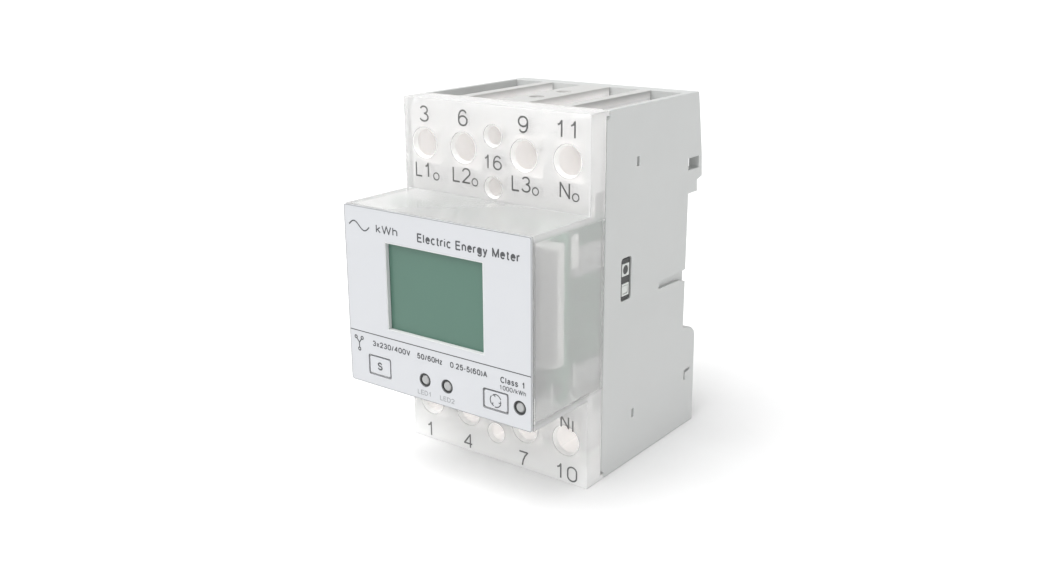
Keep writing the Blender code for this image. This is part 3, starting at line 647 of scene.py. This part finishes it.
def printed(shape, lines, weight, surface_y):
    """Adds flat ink to shape: every (x, z) line widened to weight, joined, and raised off the surface."""
    points, polygons = [], []

    def add_polygon(corners):
        polygons.append(range(len(points), len(points) + len(corners)))
        points.extend(corners)

    half = weight / 2
    for line in lines:
        line = [Vector(point) for point in line]
        for start, end in zip(line, line[1:]):
            if (end - start).length < 1e-6:
                continue
            run = (end - start).normalized()
            across = Vector((-run.y, run.x)) * half
            add_polygon([start + across, start - across, end - across, end + across])
        for joint in line[1:-1]:
            angles = [2 * math.pi * (step + 0.5) / JOINT_SIDES for step in range(JOINT_SIDES)]
            add_polygon([joint + Vector((half * math.cos(a), half * math.sin(a))) for a in angles])
    flat = delaunay_2d_cdt(points, [], [list(polygon) for polygon in polygons], 1, 1e-5)
    flat_points, flat_faces, sources = flat[0], flat[2], flat[5]
    ink = bmesh.new()
    corners = [ink.verts.new((x, surface_y + INK_BACK, z)) for x, z in flat_points]
    for face, source in zip(flat_faces, sources):
        if source:
            ink.faces.new([corners[index] for index in face])
    bmesh.ops.dissolve_limit(ink, angle_limit=math.radians(1), verts=ink.verts, edges=ink.edges)
    loose = [vert for vert in ink.verts if not vert.link_faces]
    bmesh.ops.delete(ink, geom=loose, context="VERTS")
    raised = bmesh.ops.extrude_face_region(ink, geom=ink.faces[:])["geom"]
    moved = [item for item in raised if isinstance(item, bmesh.types.BMVert)]
    bmesh.ops.translate(ink, vec=(0, -INK_FRONT - INK_BACK, 0), verts=moved)
    mesh = bpy.data.meshes.new("ink")
    ink.to_mesh(mesh)
    ink.free()
    shape.from_mesh(mesh)
    bpy.data.meshes.remove(mesh)


def drawn(name, lines, weight, surface_y, material, body=HOUSING):
    """One printed piece made of plain (x, z) lines."""
    shape = bmesh.new()
    printed(shape, lines, weight, surface_y)
    rides(object_from(shape, name, material), body)


def lettering(name, lines, surface_y, material, body=HOUSING):
    """One printed piece. A line is (words, middle x, baseline z, capital height, weight share, width)."""
    whole = bmesh.new()
    for words, x, z, cap, share, width in lines:
        weight = cap * share
        size = cap - weight
        spaces = weight * len(words)
        natural = sum(GLYPHS[letter][0] for letter in words) + LETTER_SPACE * (len(words) - 1)
        squeeze = (width - spaces) / (natural * size)
        at = x - width / 2 + weight / 2
        strokes = []
        for letter in words:
            glyph_width, centre_lines = GLYPHS[letter]
            for stroke in centre_lines:
                strokes.append([(at + px * size * squeeze, z + weight / 2 + pz * size)
                                for px, pz in stroke])
            at += (glyph_width + LETTER_SPACE) * size * squeeze + weight
        printed(whole, strokes, weight, surface_y)
    rides(object_from(whole, name, material), body)


RULE_Z = -8.8  # the line across the label, above the ratings
RULE_INSET = 0.15
EDGE_SHADE_INSET = 0.1
WAVE_LEFT, WAVE_LENGTH, WAVE_Z, WAVE_HEIGHT = -25.4, 6.4, 17.0, 1.0
STAR_HUB = (-24.0, -11.8)
STAR_ARM = 1.25
STAR_TIP = 1.62  # from the hub to the middle of the circle on each arm
STAR_CIRCLE = 0.36


def make_label_print(ink, thin_ink):
    """Title, ratings, symbols and rules printed on the front label, with a thin grey line round its edge that
    is painted shade of the gap to the cover.
    """
    y = LABEL_Y
    lettering("label_title", [("Electric Energy Meter", 9.8, 15.8, 2.1, 0.17, 28.4)], y, ink)
    lettering("label_ratings", [
        ("3x230/400V", -13.6, -11.75, 1.4, 0.19, 11.9),
        ("50/60Hz", -1.8, -11.75, 1.4, 0.19, 7.5),
        ("0.25-5(60)A", 9.6, -11.75, 1.4, 0.19, 10.6),
        ("Class 1", 21.9, -12.0, 1.5, 0.19, 6.8),
        ("1000/kWh", 21.8, -13.6, 1.1, 0.16, 7.2),
    ], y, ink)
    lettering("lamp_captions", [
        ("LED1", -3.6, -20.4, 1.2, 0.15, 4.2),
        ("LED2", 3.2, -20.4, 1.2, 0.15, 4.3),
    ], y, thin_ink)
    rule = [(LABEL_LOW.x + RULE_INSET, RULE_Z), (LABEL_HIGH.x - RULE_INSET, RULE_Z)]
    drawn("label_rule", [rule], 0.22, y, ink)
    # painted shade: a thin grey line round the label's edge stands for the shade in the gap between label and
    # cover
    edge_shade = rounded(LABEL_LOW.x + EDGE_SHADE_INSET, LABEL_HIGH.x - EDGE_SHADE_INSET,
                     LABEL_LOW.z + EDGE_SHADE_INSET, LABEL_HIGH.z - EDGE_SHADE_INSET, 0.45)
    drawn("label_edge_shade", [edge_shade], 0.16, y, thin_ink)
    shares = [step / 32 for step in range(33)]
    wave = [(WAVE_LEFT + WAVE_LENGTH * t, WAVE_Z + WAVE_HEIGHT * math.sin(2 * math.pi * t)) for t in shares]
    drawn("label_wave", [wave], 0.30, y, ink)
    lettering("label_unit", [("kWh", -13.6, 16.1, 2.0, 0.15, 6.6)], y, ink)
    star = []
    for angle in (128, 52, -90):
        star.append([STAR_HUB, around(STAR_HUB, STAR_ARM, angle)])
        star.append(arc(around(STAR_HUB, STAR_TIP, angle), STAR_CIRCLE, 0, 360))
    drawn("label_star", star, 0.3, y, ink)


SHOULDER_WEIGHT = 0.105
PHASE_NAMES = (
    # words, middle x, width, distance to the small ring after them
    ("L1", -21.2, 5.1, 4.0),
    ("L2", -9.3, 5.5, 4.0),
    ("L3", 8.2, 5.4, 4.0),
    ("N", 20.2, 2.8, 2.9),
)


def make_shoulder_print(ink):
    """Terminal numbers and phase names on the two shoulders of the cover."""
    upper = [("3", -20.5), ("6", -8.6), ("9", 8.8), ("11", 20.8)]
    lower = [("1", -21.5), ("4", -8.9), ("7", 8.5), ("10", 21.1)]
    widths = {1: 2.9, 2: 6.4}
    top = [(words, x, 38.3, 3.9, SHOULDER_WEIGHT, widths[len(words)]) for words, x in upper]
    top.append(("16", 0.0, 29.1, 3.4, SHOULDER_WEIGHT, 5.4))
    top += [(words, x, 24.9, 3.7, SHOULDER_WEIGHT, width) for words, x, width, _ in PHASE_NAMES]
    lettering("shoulder_numbers_top", top, SHOULDER_Y, ink)
    bottom = [(words, x, -43.3, 4.0, SHOULDER_WEIGHT, widths[len(words)]) for words, x in lower]
    bottom += [("N", 20.65, -30.0, 3.2, 0.13, 2.5), ("l", 22.9, -30.5, 3.1, 0.13, 0.4)]
    lettering("shoulder_numbers_bottom", bottom, SHOULDER_Y, ink)
    circles = [arc((x + distance, 25.5), 0.85, 0, 360) for _, x, _, distance in PHASE_NAMES]
    drawn("shoulder_rings", circles, 0.28, SHOULDER_Y, ink)


KEY_OUTLINE_GAP = 0.05
ARROW_RADIUS = 1.5
ARROW_BARB = 0.62


def make_key_print(ink):
    """Outlines round both keys, a letter on one and three chasing arrows on the other."""
    gap = KEY_OUTLINE_GAP
    outlines = []
    for node in KEYS:
        x, z = key_opening(node)
        outlines.append(rounded(x[0] - gap, x[1] + gap, z[0] - gap, z[1] + gap, 0.5))
    drawn("key_outlines", outlines, 0.1, LABEL_Y, ink)
    x, z = place_of("key_select")
    lettering("key_select_letter", [("S", x, z - 1.0, 2.0, 0.19, 1.6)], LABEL_Y, ink, "key_select")
    centre = place_of("key_scroll")
    arrows = []
    for start in (20, 140, 260):
        arrows.append(arc(centre, ARROW_RADIUS, start, start + 78, 10))
        point = around(centre, ARROW_RADIUS, start + 84)
        arrows += [[point, around(point, ARROW_BARB, start + turn)] for turn in (200, 270)]
    drawn("key_scroll_arrows", arrows, 0.25, LABEL_Y, ink, "key_scroll")


# ---------------------------------------------------------------- small parts

SLEEVE_RADII = (1.22, 1.54)
SLEEVE_LENGTH = 1.6
SLEEVE_EDGE = 0.08


def make_lamp_rings(black):
    """Black sleeve and outline round each light pipe."""
    inner, outer = SLEEVE_RADII
    front, rear, edge = LABEL_Y, LABEL_Y + SLEEVE_LENGTH, SLEEVE_EDGE
    profile = [(inner, front + edge), (inner + edge, front), (outer - edge, front), (outer, front + edge),
               (outer, rear), (inner, rear)]
    for lamp in LAMPS:
        shape = bmesh.new()
        add_turned(shape, place_of(lamp), profile, loop=True)
        rides(object_from(shape, f"{lamp}_sleeve", black))
        drawn(f"{lamp}_outline", [arc(place_of(lamp), 1.6, 0, 360, 48)], 0.1, LABEL_Y, black)


# Screwdriver holes in the cover: the screw behind each, the hole's radius and its rim's thickness
SCREW_HOLES = [(f"screw_{number}", 3.75, 0.45) for number in MAIN_TERMINALS]
SCREW_HOLES += [(f"aux_screw_{aux}", 2.6, 0.35) for aux in AUX_TERMINALS]
LAMP_HOLE_RADIUS = 1.55
WINDOW_GAP = 0.3
BOX_MARGIN = 0.1  # the front box reaches this far past the label, above and below
COVER_EDGE = 0.2
SKIRT_STEP_Z = 42.8  # above and below this height the cover's skirt reaches further back
SKIRT_STEP = 1.1  # this much further


def make_cover(frosted):
    """Frosted cover: both shoulders with their screwdriver holes, and the raised box behind the label."""
    x, front, rear, high = COVER_HIGH.x, COVER_LOW.y, COVER_HIGH.y, COVER_HIGH.z
    step = LABEL_HIGH.z + BOX_MARGIN
    outline = [(SHOULDER_Y, high), (SHOULDER_Y, step), (front, step), (front, -step), (SHOULDER_Y, -step),
               (SHOULDER_Y, -high), (rear, -high), (rear, high)]
    shape = bmesh.new()
    left = [shape.verts.new((-x, y, z)) for y, z in outline]
    right = [shape.verts.new((x, y, z)) for y, z in outline]
    shape.faces.new(left)
    shape.faces.new(list(reversed(right)))
    for index in range(len(outline)):
        after = (index + 1) % len(outline)
        shape.faces.new((left[index], right[index], right[after], left[after]))
    cover = object_from(shape, "cover_shell", frosted)
    inner = x - COVER_WALL
    openings = bmesh.new()
    for screw, radius, _ in SCREW_HOLES:
        add_rod(openings, place_of(screw), radius, (SHOULDER_Y - 2, SHOULDER_Y + 4))
    through = (front - 1, front + COVER_WALL + 1)
    for lamp in LAMPS:
        add_rod(openings, place_of(lamp), LAMP_HOLE_RADIUS, through, 48)
    low, top = span("lcd_window")
    add_box(openings, (low.x - WINDOW_GAP, top.x + WINDOW_GAP), through,
            (low.z - WINDOW_GAP, top.z + WINDOW_GAP))
    for node in KEYS:
        across, upright = key_opening(node)
        add_box(openings, across, through, upright)
    carve(
        cover,
        box_shape((-inner, inner), (SHOULDER_Y + COVER_WALL, 0), (-high + COVER_WALL, high - COVER_WALL)),
        box_shape((-inner, inner), (front + COVER_WALL, SHOULDER_Y + 3),
                  (-step + COVER_WALL, step - COVER_WALL)),
        box_shape((-x - 1, x + 1), (rear - SKIRT_STEP, 0), (-SKIRT_STEP_Z, SKIRT_STEP_Z)),
        openings,
    )
    soften(cover, COVER_EDGE, 3)
    rides(cover, replaces=("front_cover",))


HEAD_CHAMFER = 0.4
CROSS_LENGTH = 0.75  # of the slot's length
CROSS_STEP = 0.1  # the cross is this much shallower than the slot
THREAD_BITE = 0.1  # the thread reaches this far into the head
SCREW_KINDS = {
    # head length, shank radius, pitch, thread depth, half slot length, half slot width, slot depth
    "screw": (2.2, 2.2, 0.8, 0.36, 2.3, 0.4, 1.3),
    "aux_screw": (1.8, 1.2, 0.5, 0.22, 1.5, 0.3, 0.8),
}


def make_screws(kind, names, metal):
    """Captive screws with a slot and cross recess and a rolled thread."""
    head_length, shank, pitch, depth, half_long, half_wide, deep = SCREW_KINDS[kind]
    for name in names:
        node = f"{kind}_{name}"
        low, high = span(node)
        x, z = place_of(node)
        radius, front, rear = (high.x - low.x) / 2, low.y, low.y + head_length
        profile = [(radius - HEAD_CHAMFER, front), (radius, front + HEAD_CHAMFER), (radius, rear)]
        shape = bmesh.new()
        add_turned(shape, (x, z), profile)
        head = object_from(shape, f"{node}_head", metal)
        carve(
            head,
            box_shape((x - half_long, x + half_long), (front - 1, front + deep),
                      (z - half_wide, z + half_wide)),
            box_shape((x - half_wide, x + half_wide), (front - 1, front + deep - CROSS_STEP),
                      (z - CROSS_LENGTH * half_long, z + CROSS_LENGTH * half_long)),
        )
        soften(head, 0.07)
        rides(head, node, replaces=(node,))
        shape = bmesh.new()
        add_turned(shape, (x, z), thread_profile(shank, pitch, depth, rear - THREAD_BITE, high.y), 24)
        rides(object_from(shape, f"{node}_thread", metal, 60), node)


GASKET_WIDTH = 0.22
GASKET_SINK = 0.03  # behind the label's face
GASKET_GAP = 0.01  # to the pane and to the opening's sides


def make_display_gasket(foam):
    """Pale gasket that lines the display opening from the label down to the pane."""
    low, high = span("lcd_window")
    front, rear = LABEL_Y + GASKET_SINK, low.y - GASKET_GAP
    across, upright = [(low[axis] + GASKET_GAP, high[axis] - GASKET_GAP) for axis in (0, 2)]
    gasket = object_from(box_shape(across, (front, rear), upright), "display_gasket", foam)
    carve(gasket, box_shape(
        (across[0] + GASKET_WIDTH, across[1] - GASKET_WIDTH), (front - 1, rear + 1),
        (upright[0] + GASKET_WIDTH, upright[1] - GASKET_WIDTH),
    ))
    soften(gasket, 0.05)
    rides(gasket)


RIM_SINK = 0.22  # from the shoulder's face to a rim's mouth
RIM_GAP = 0.02
RIM_LIP = 0.1


def make_hole_rims(plastic):
    """Pale funnels in the cover's holes that lead a screwdriver into the wells; their plastic carries a faint
    painted glow.
    """
    shape = bmesh.new()
    front, rear = SHOULDER_Y + RIM_SINK, SHOULDER_Y + COVER_WALL - RIM_GAP
    for screw, radius, wall in SCREW_HOLES:
        outer = radius - RIM_GAP
        profile = [(outer, rear), (outer, front), (radius - RIM_LIP, front), (radius - wall, rear)]
        add_turned(shape, place_of(screw), profile, 72, loop=True)
    rides(object_from(shape, "hole_rims", plastic, 40))


RIB_GAP = 0.04  # between a rib and its wall
# Pale ribs inside the cover's side walls: limits in Y and Z, and reach inward from the wall
SIDE_RIBS = (
    ((-50.2, -47.4), (11.2, 18.4), 0.5),
    ((-49.0, -48.4), (-16.8, -11.0), 0.5),
    ((-64.2, -63.7), (-20.6, -14.6), 0.2),
    ((-57.6, -57.1), (-20.2, -13.2), 0.2),
)


def make_side_ribs(plastic):
    """Short ribs that stiffen the side walls of the front box."""
    shape = bmesh.new()
    wall = COVER_HIGH.x - COVER_WALL - RIB_GAP
    for depth, height, reach in SIDE_RIBS:
        for side in (1, -1):
            add_box(shape, sorted((side * wall, side * (wall - reach))), depth, height)
    rides(soften(object_from(shape, "side_ribs", plastic), 0.05))


BEZEL_FRONT_X = 26.7
EYE_FRONT_X = 26.8
EYE_HALF = 1.5
EYE_GAP = 0.08  # between an eye and the bezel round it
LENS_BITE = 0.04  # a lens reaches this far into the floor of its recess
EYES = {
    # outline, half width and depth of the recess, then the lens's half width and how far back it lies
    "ir_emitter": ("round", 1.12, 0.5, 1.08, 0.1),
    "ir_receiver": ("square", 1.05, 0.3, 0.9, 0.05),
}


def make_infrared_port(dark, pale):
    """Dark bezel in the right side, with the emitter's dark lens above the receiver's pale square."""
    low, high = span("ir_bezel")
    limits = ((low.x, BEZEL_FRONT_X), (low.y, high.y), (low.z, high.z))
    bezel = object_from(box_shape(*limits), "port_bezel", dark)
    for eye, lens_plastic in (("ir_emitter", dark), ("ir_receiver", pale)):
        bottom, top = span(eye)
        centre = ((low.y + high.y) / 2, (bottom.z + top.z) / 2)
        outline, recess_half, depth, lens_half, sink = EYES[eye]
        carve(bezel, side_bar("square", centre, EYE_HALF + EYE_GAP, (low.x - 1, high.x + 1)))
        case_bar = side_bar("square", centre, EYE_HALF, (bottom.x, EYE_FRONT_X))
        case = object_from(case_bar, f"{eye}_case", pale)
        carve(case, side_bar(outline, centre, recess_half, (EYE_FRONT_X - depth, EYE_FRONT_X + 1)))
        lens_x = (EYE_FRONT_X - depth - LENS_BITE, EYE_FRONT_X - sink)
        lens = object_from(side_bar(outline, centre, lens_half, lens_x), f"{eye}_lens", lens_plastic)
        rides(soften(case, 0.06), replaces=(eye,))
        rides(soften(lens, 0.08))
    rides(soften(bezel, 0.08), replaces=("ir_bezel",))


SPRING_WIRE = 0.3  # radius
SPRING_TURNS = 6


def make_spring(steel):
    """Round-wire helix in the place of the clip's spring."""
    low, high = span("clip_spring")
    centre = (low + high) / 2
    radius = (high.x - low.x) / 2 - SPRING_WIRE
    per_turn = 40
    count = SPRING_TURNS * per_turn
    start, end = low.z + SPRING_WIRE, high.z - SPRING_WIRE
    curve = bpy.data.curves.new("spring_path", "CURVE")
    curve.dimensions = "3D"
    curve.bevel_depth = SPRING_WIRE * MM
    curve.bevel_resolution = 4
    curve.use_fill_caps = True
    line = curve.splines.new("POLY")
    line.points.add(count)
    for index in range(count + 1):
        a = 2 * math.pi * index / per_turn
        point = Vector((centre.x + radius * math.cos(a), centre.y + radius * math.sin(a),
                        start + (end - start) * index / count))
        line.points[index].co = (*(point * MM), 1)
    holder = link(curve, "spring_path")
    bpy.context.view_layer.update()
    mesh = bpy.data.meshes.new_from_object(holder.evaluated_get(bpy.context.evaluated_depsgraph_get()))
    bpy.data.objects.remove(holder)
    bpy.data.curves.remove(curve)
    mesh.name = "spring_coil"
    mesh.materials.clear()
    mesh.materials.append(steel)
    mesh.shade_smooth()
    spring = rides(link(mesh, "spring_coil"), replaces=("clip_spring",))
    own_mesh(spring)


# ---------------------------------------------------------------- assembly

def make_finishes():
    """Every material, by a short name."""
    plain = {"relief": 0.0, "grain": 0.1, "mottle": 0.05}
    finish = {
        "shell": moulded("shell_plastic", (0.53, 0.541, 0.535), 0.5, grain=0.3, relief=0.005),
        "block": moulded("block_plastic", (0.955, 0.945, 0.94), 0.5, grain=0.3, relief=0.005,
                         Emission_Color=(1.0, 0.98, 0.97, 1.0)),
        "cover": moulded("cover_plastic", (0.98, 0.98, 0.975), 0.13, grain=0.25, relief=0.0, mottle=0.008,
                         Transmission_Weight=0.65, IOR=1.4),
        "label": moulded("label_film", (0.515, 0.525, 0.545), 0.38, grain=0.15, relief=0.001, mottle=0.008),
        "key": moulded("key_plastic", (0.515, 0.525, 0.545), 0.4, grain=0.15, relief=0.002, mottle=0.008),
        "pane": liquid_crystal("display_pane", (0.098, 0.200, 0.155), Transmission_Weight=0.25, IOR=1.4),
        "glass": liquid_crystal("display_glass", (0.098, 0.200, 0.155)),
        "white": moulded("white_plastic", (0.93, 0.93, 0.91), 0.5),
        "carrier": moulded("carrier_plastic_painted_shade", (0.93, 0.93, 0.91), 0.5),
        # the rim plastic's faint emission is painted light, not a lamp
        "rim": moulded("rim_plastic_painted_glow", (0.9, 0.9, 0.89), 0.45, Emission_Color=(1.0, 1.0, 0.99, 1.0),
                       Emission_Strength=0.03),
        "gasket": moulded("gasket_foam", (0.62, 0.63, 0.63), 0.6),
        "board": circuit_board("board_mask", (0.12, 0.34, 0.21), (0.20, 0.46, 0.30)),
        "dark": moulded("dark_plastic", (0.022, 0.024, 0.024), 0.4, relief=0.003, mottle=0.05),
        "pipe": moulded("pipe_plastic", (0.34, 0.345, 0.345), 0.18, relief=0.001, Coat_Weight=0.3),
        "eye": moulded("eye_plastic", (0.62, 0.64, 0.62), 0.4, relief=0.002),
        "blue": moulded("component_blue", (0.04, 0.08, 0.25), 0.4, relief=0.004, mottle=0.06),
        "copper": plated("strap_copper", (0.80, 0.45, 0.30), 0.32, stretch=(1, 1, 0.15),
                         stain=(0.62, 0.33, 0.22)),
        "brass": plated("contact_brass", (0.74, 0.58, 0.30), 0.30, stretch=(1, 1, 0.15)),
        "nickel": plated("screw_nickel", (0.72, 0.71, 0.69), 0.25),
        "zinc": plated("cage_zinc", (0.66, 0.67, 0.68), 0.38, grain=0.5),
        "spring": plated("spring_wire", (0.52, 0.52, 0.52), 0.3),
        "clip": moulded("clip_plastic", (0.78, 0.78, 0.76), 0.45),
        "ink": moulded("ink_dark", (0.06, 0.063, 0.068), 0.5, **plain),
        "thin_ink": moulded("ink_grey", (0.26, 0.27, 0.28), 0.5, **plain),
        "shoulder_ink": moulded("ink_shoulder", (0.10, 0.10, 0.10), 0.5, **plain),
    }
    # painted light and shade in the terminal blocks: a glow in their wells and foot, a greyer tint on their
    # outer rims
    paint_glow_and_rim_shade(finish["block"], 0.105, 0.12, (0.50, 0.50, 0.49))
    # painted light: the shell is painted lighter towards its foot, against the floor's shade there
    shade_along(finish["shell"], "Z", -5.0, -44.0, (0.60, 0.61, 0.605))
    clearer_sides(finish["cover"], 0.65, 0.78)
    # painted shade: the display carrier turns near black inward of 18.5 mm from the middle, for the dark
    # recess seen through the front box's side walls
    shade_along(finish["carrier"], "X", 21.0, 18.5, (0.14, 0.14, 0.145))
    return finish


TRANSFORMERS = tuple(f"current_transformer_{phase}" for phase in (1, 2, 3))
# The CAD nodes that stay in view: their finish and the width of their softened edges
DRESSES = (
    (("rear_shell",), "shell", 0.18),
    (("front_label",), "label", 0.08),
    (("lcd_window",), "pane", 0.1),
    (("lcd_glass",), "glass", 0.1),
    (("terminal_block_top", "terminal_block_bottom"), "block", 0.15),
    (("lcd_backlight", "supply_coil"), "white", 0.12),
    (("lcd_frame",), "carrier", 0.12),
    (("main_pcb", "power_pcb"), "board", 0.05),
    (KEYS, "key", 0.12),
    (("board_connector", "tact_switch_select", "tact_switch_scroll"), "dark", 0.1),
    (LAMPS, "pipe", 0.05),
    (("capacitor", "varistor") + TRANSFORMERS, "blue", 0.15),
    (("phase_bar_1", "phase_bar_2", "phase_bar_3", "neutral_bar"), "copper", 0.12),
    ([f"aux_contact_{aux}" for aux in AUX_TERMINALS], "brass", 0.06),
    ([f"aux_cage_{aux}" for aux in AUX_TERMINALS], "zinc", 0.08),
    ([f"cage_{number}" for number in MAIN_TERMINALS], "zinc", 0.12),
    (("din_clip",), "clip", 0.15),
)

make_camera()
make_studio()
finish = make_finishes()
for nodes, name, edge in DRESSES:
    for node in nodes:
        dressed(node, finish[name], edge)
make_cover(finish["cover"])
make_hole_rims(finish["rim"])
make_side_ribs(finish["white"])
make_display_gasket(finish["gasket"])
make_infrared_port(finish["dark"], finish["eye"])
make_screws("screw", MAIN_TERMINALS, finish["nickel"])
make_screws("aux_screw", AUX_TERMINALS, finish["nickel"])
make_label_print(finish["ink"], finish["thin_ink"])
make_shoulder_print(finish["shoulder_ink"])
make_key_print(finish["ink"])
make_lamp_rings(finish["dark"])
make_spring(finish["spring"])
